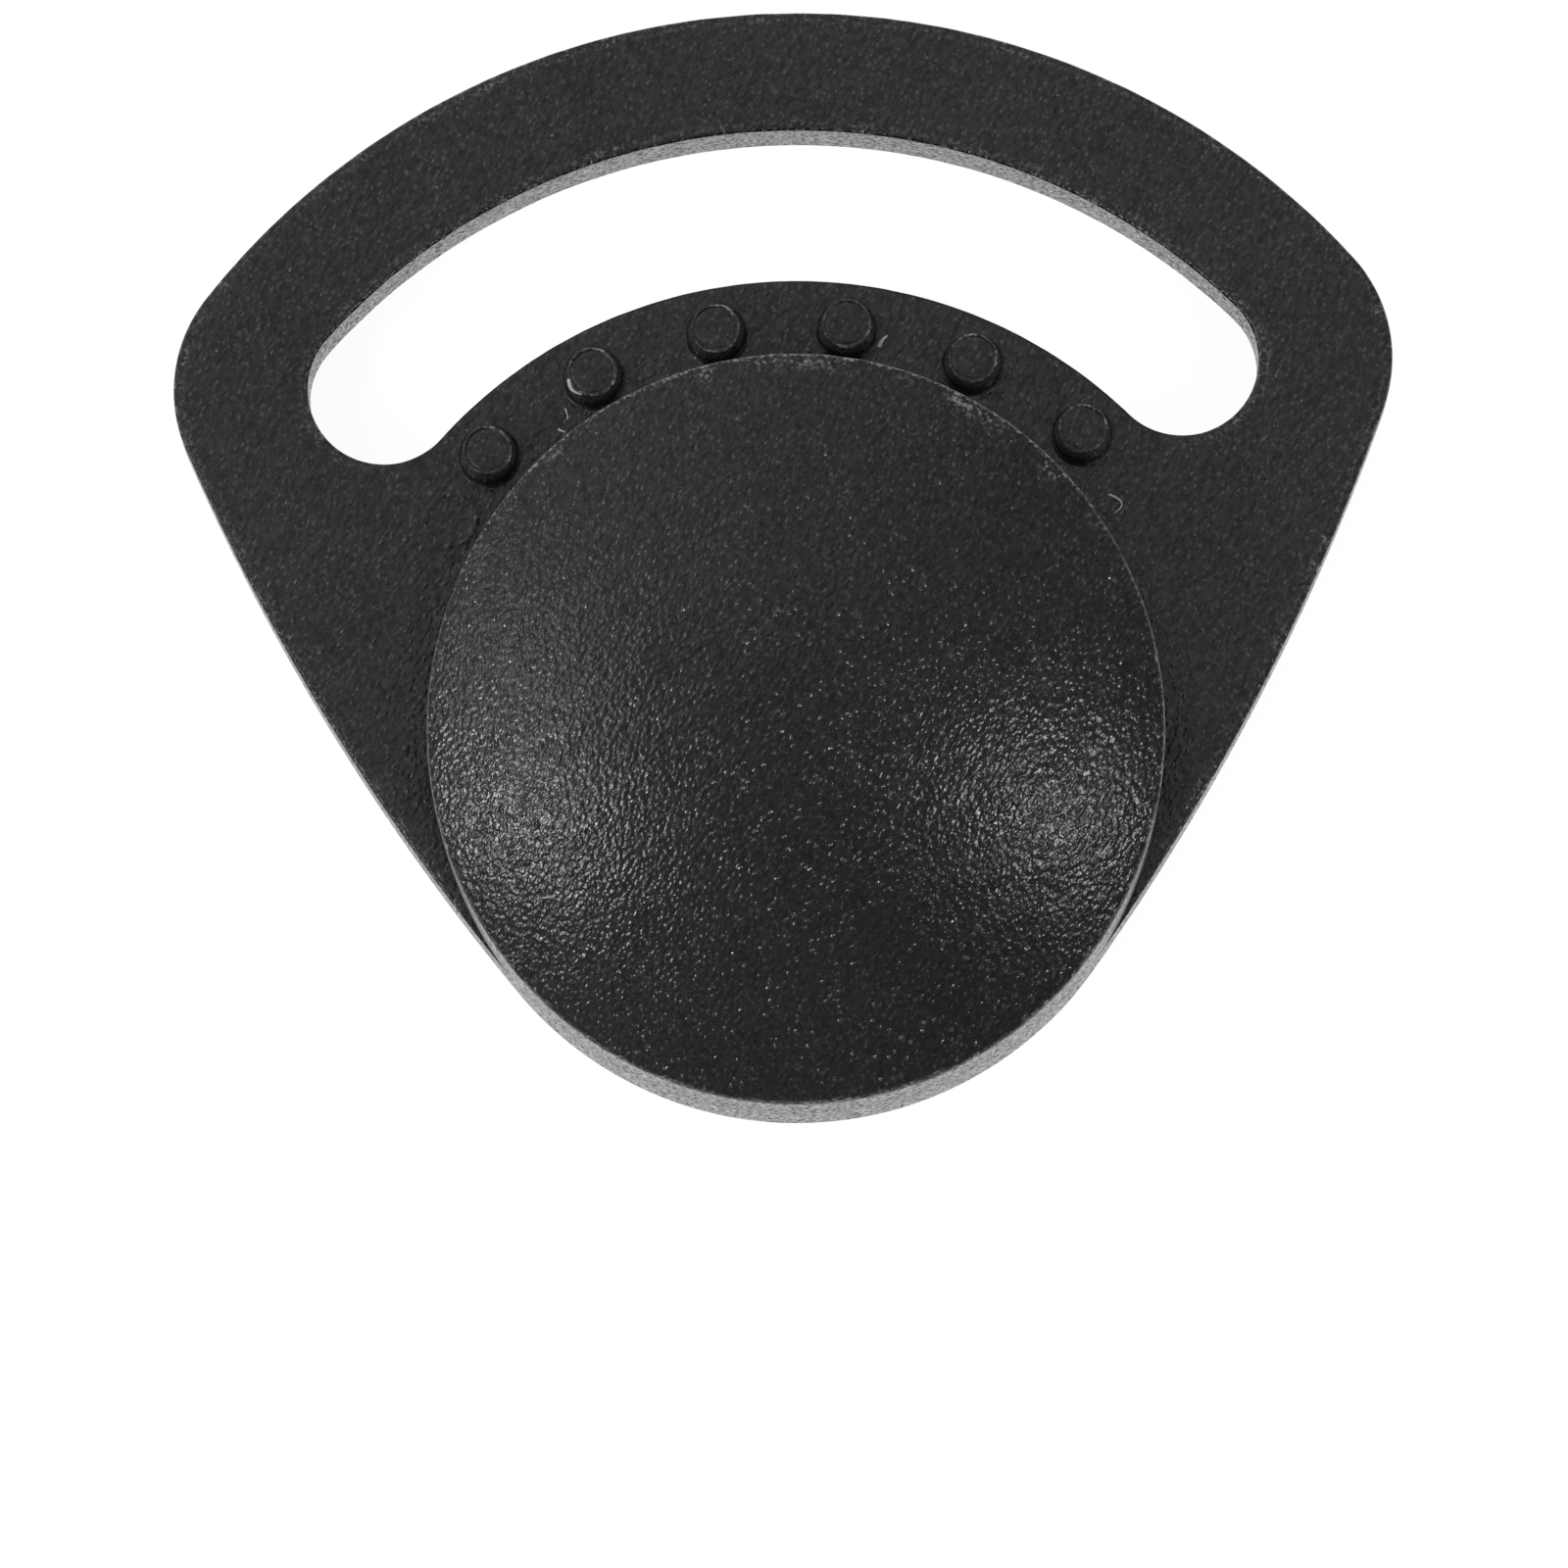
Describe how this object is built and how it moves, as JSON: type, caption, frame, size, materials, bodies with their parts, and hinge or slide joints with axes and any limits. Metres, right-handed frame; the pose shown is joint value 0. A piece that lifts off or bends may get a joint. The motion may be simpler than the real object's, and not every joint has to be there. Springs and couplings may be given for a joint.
{
  "type": "strap buckle slider",
  "caption": "Fan-shaped black plastic strap buckle with a curved strap slot, a row of short pegs and a domed round hook cap tilted over an open eye.",
  "frame": {"origin": "on the axis of the round eye, at the underside of the plate", "axes": "+Z from the underside towards the cap, +Y towards the strap slot, -Y towards the tip, X across the width"},
  "size_m": [0.06, 0.0547, 0.017],
  "materials": {
    "black_plastic": "fine spark-eroded grain, charcoal black"
  },
  "bodies": {
    "root": {"plate_upper": "black_plastic", "plate_lower": "black_plastic", "collar_wall": "black_plastic", "hook_cap": "black_plastic", "peg_outer_right": "black_plastic", "peg_middle_right": "black_plastic", "peg_inner_right": "black_plastic", "peg_inner_left": "black_plastic", "peg_middle_left": "black_plastic", "peg_outer_left": "black_plastic"}
  },
  "joints": []
}
